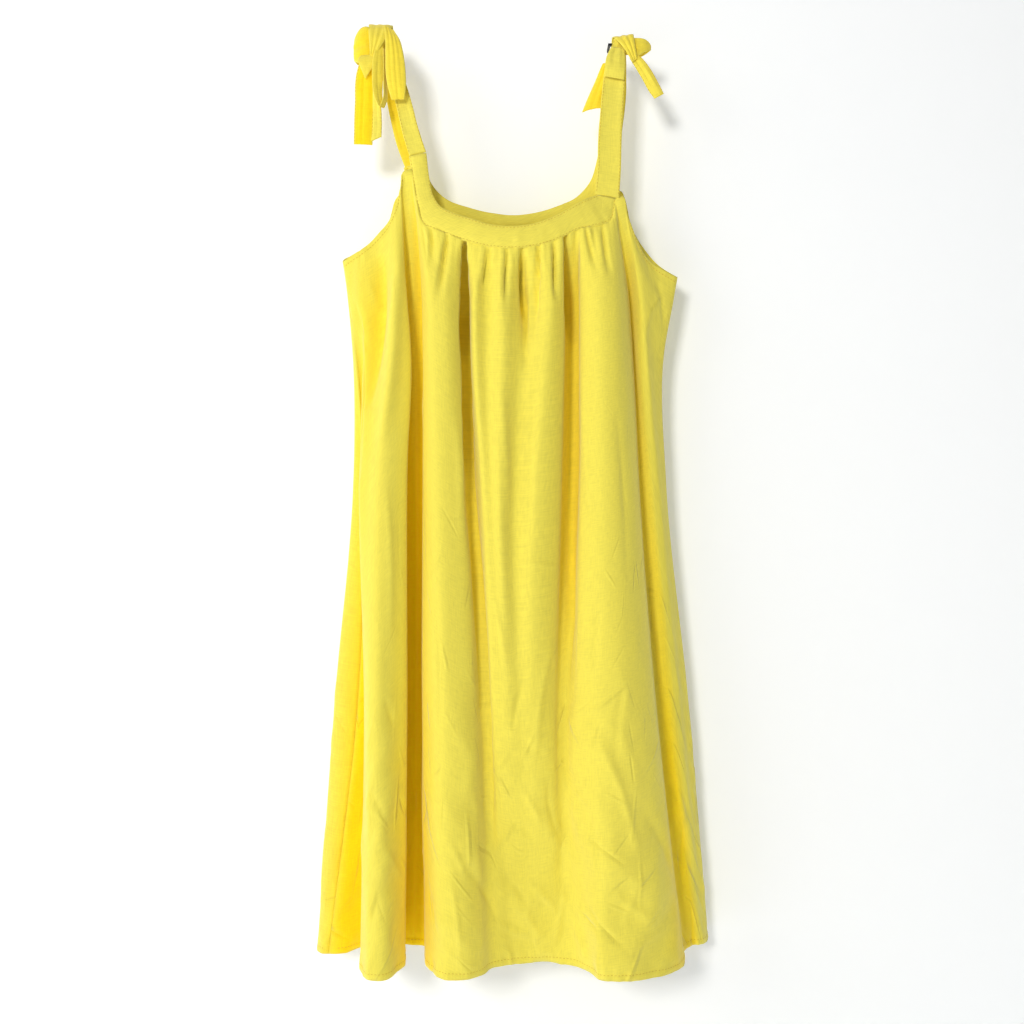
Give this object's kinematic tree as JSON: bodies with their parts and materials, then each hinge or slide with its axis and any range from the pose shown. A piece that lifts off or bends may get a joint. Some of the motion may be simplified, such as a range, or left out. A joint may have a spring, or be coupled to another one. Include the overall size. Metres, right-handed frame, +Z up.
{
  "type": "sundress hanging from two wall hooks",
  "caption": "Sleeveless cotton sundress with a gathered front, U-shaped neck band and knotted shoulder ties, hanging from wall hooks.",
  "frame": {"origin": "point on the wall plane, midway between the two hooks that hold the dress by its shoulder knots", "axes": "+X to the viewer's right, +Y into the wall, so the front of the dress faces -Y, and +Z up"},
  "size_m": [0.5105, 0.1627, 1.1799],
  "materials": {
    "cotton": "plain-woven bright yellow cotton poplin, softly creased",
    "hook_plate": "matt white enamel",
    "hook_wire": "blackened steel wire"
  },
  "bodies": {
    "root": {"front_panel": "cotton", "back_panel": "cotton", "front_neck_band": "cotton", "back_neck_band": "cotton", "strap_front_left": "cotton", "strap_back_left": "cotton", "strap_front_right": "cotton", "strap_back_right": "cotton", "knot_left_wrap": "cotton", "bow_left_round": "cotton", "tie_end_left": "cotton", "tail_left_wide": "cotton", "tail_left_narrow": "cotton", "loop_left_narrow": "cotton", "loop_left_drape": "cotton", "knot_right_wrap": "cotton", "fold_right_over": "cotton", "bow_right_loop": "cotton", "tail_right_long": "cotton", "tail_right_back": "cotton", "hook_plate_left": "hook_plate", "hook_wire_left": "hook_wire", "hook_plate_right": "hook_plate", "hook_wire_right": "hook_wire"}
  },
  "joints": []
}
